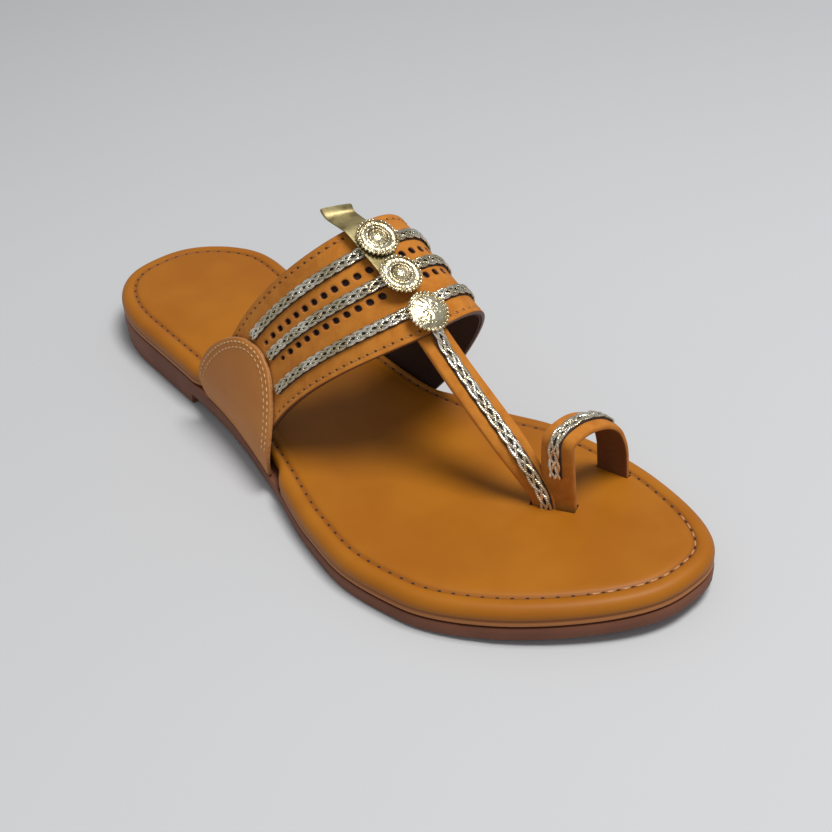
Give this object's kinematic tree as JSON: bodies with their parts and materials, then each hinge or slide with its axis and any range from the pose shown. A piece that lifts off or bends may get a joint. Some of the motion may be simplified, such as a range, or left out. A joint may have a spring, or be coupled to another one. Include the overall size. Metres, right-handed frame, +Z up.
{
  "type": "kolhapuri sandal",
  "caption": "flat tan leather kolhapuri sandal with an instep band, T-strap and big-toe loop, metallic braids and pale gold discs",
  "frame": {"origin": "on the floor under the middle of the heel", "axes": "+Y towards the toe, +X to the outer side of the foot, +Z up"},
  "size_m": [0.0899, 0.25, 0.0848],
  "materials": {
    "sole_rubber": "matt moulded red-brown rubber",
    "smooth_leather": "smooth tan leather, satin",
    "nubuck": "tan nubuck with polished edges",
    "metallic_braid": "silvery gold yarn braided over dark brown",
    "pale_gold": "bright pressed metal, pale gold"
  },
  "bodies": {
    "root": {"outsole": "sole_rubber", "footbed": "smooth_leather", "upper": "nubuck", "ear_lateral": "smooth_leather", "ear_medial": "smooth_leather", "braid_back": "metallic_braid", "braid_middle": "metallic_braid", "braid_front": "metallic_braid", "braid_strap": "metallic_braid", "braid_loop": "metallic_braid", "disc_back": "pale_gold", "disc_middle": "pale_gold", "disc_front": "pale_gold", "gold_tab": "pale_gold"}
  },
  "joints": []
}
